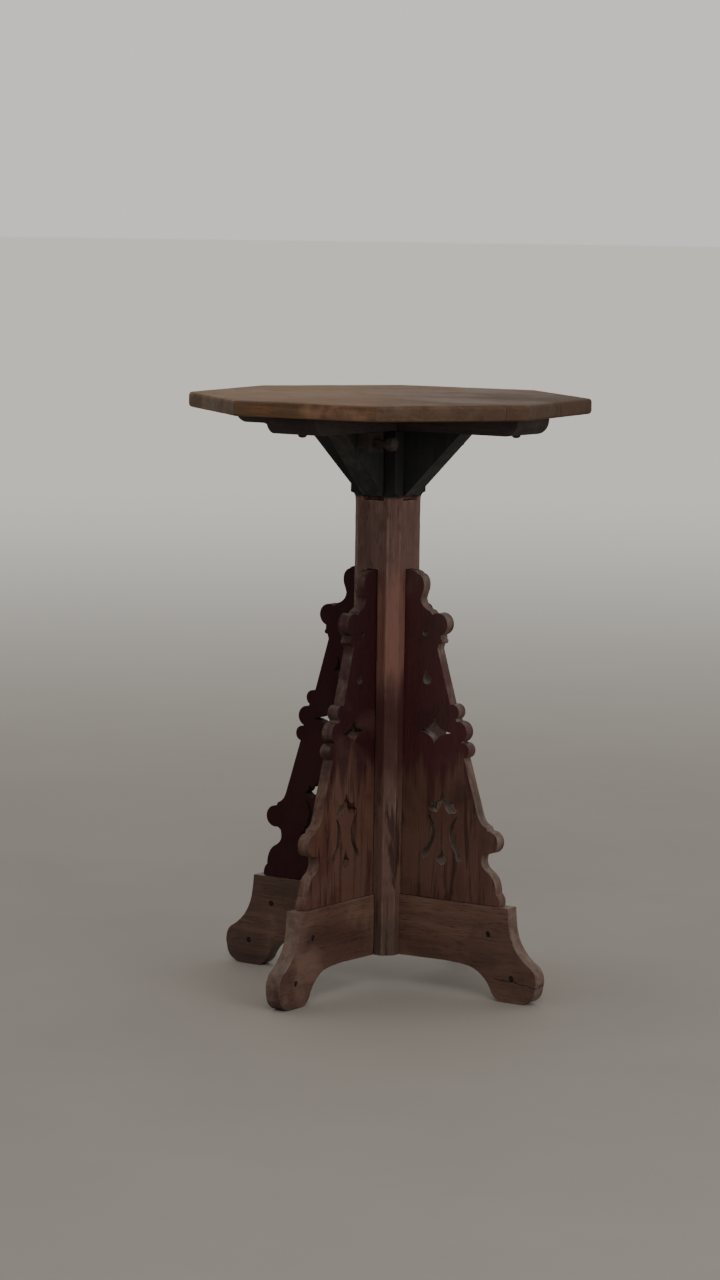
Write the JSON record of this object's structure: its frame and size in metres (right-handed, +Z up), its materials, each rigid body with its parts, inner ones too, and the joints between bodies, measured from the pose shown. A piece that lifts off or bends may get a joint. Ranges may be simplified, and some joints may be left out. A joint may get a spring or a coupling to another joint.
{
  "type": "tilt top table",
  "caption": "Octagonal tilt-top occasional table on a square post with pierced fret boards, sloping brackets and splayed foot boards; the top tips upright on a pin.",
  "frame": {"origin": "on the floor, under the post's axis, at the middle of the object's footprint", "axes": "+Z up; -Y to the front bracket, which has the lock; +Y to the back bracket, which the top turns on; +X to the right"},
  "size_m": [0.4716, 0.4716, 0.72],
  "materials": {
    "top_oak": "worn oiled mid brown oak with dry grey patches",
    "stained_oak": "dark red-brown stain, dull, worn paler along the arrises",
    "head_oak": "dark stained, dull, unpolished",
    "dowel_oak": "raw, hidden in the joints",
    "iron": "dark, slightly rusted"
  },
  "bodies": {
    "base": {"post": "stained_oak", "foot_front": "stained_oak", "fret_front": "stained_oak", "bracket_front": "head_oak", "foot_pin_front_upper": "iron", "foot_pin_front_lower": "iron", "fret_dowel_front_inner": "dowel_oak", "fret_dowel_front_outer": "dowel_oak", "foot_right": "stained_oak", "fret_right": "stained_oak", "bracket_right": "head_oak", "foot_pin_right_upper": "iron", "foot_pin_right_lower": "iron", "fret_dowel_right_inner": "dowel_oak", "fret_dowel_right_outer": "dowel_oak", "foot_back": "stained_oak", "fret_back": "stained_oak", "bracket_back": "head_oak", "foot_pin_back_upper": "iron", "foot_pin_back_lower": "iron", "fret_dowel_back_inner": "dowel_oak", "fret_dowel_back_outer": "dowel_oak", "foot_left": "stained_oak", "fret_left": "stained_oak", "bracket_left": "head_oak", "foot_pin_left_upper": "iron", "foot_pin_left_lower": "iron", "fret_dowel_left_inner": "dowel_oak", "fret_dowel_left_outer": "dowel_oak"},
    "top": {"top_plank_1": "top_oak", "top_plank_2": "top_oak", "top_plank_3": "top_oak", "top_plank_4": "top_oak", "bearer_across": "head_oak", "bearer_lengthwise": "head_oak", "bearer_screw_front": "iron", "bearer_screw_right": "iron", "bearer_screw_back": "iron", "bearer_screw_left": "iron", "pivot_cheek_left": "head_oak", "pivot_cheek_screw_left_1": "iron", "pivot_cheek_screw_left_2": "iron", "pivot_cheek_right": "head_oak", "pivot_cheek_screw_right_1": "iron", "pivot_cheek_screw_right_2": "iron", "pivot_pin": "iron", "pivot_washer": "iron", "lock_keeper": "head_oak", "lock_keeper_screw_1": "iron", "lock_keeper_screw_2": "iron"},
    "lock_peg": {"lock_peg": "head_oak"}
  },
  "joints": [
    {"name": "top_tilt", "type": "hinge", "parent": "base", "child": "top", "pos_m": [0, 0.09575, 0.668], "axis": [-1, 0, 0], "range_deg": [0, 90]},
    {"name": "lock_slide", "type": "slide", "parent": "top", "child": "lock_peg", "axis": [-1, 0, 0], "range_m": [0, 0.016]}
  ]
}
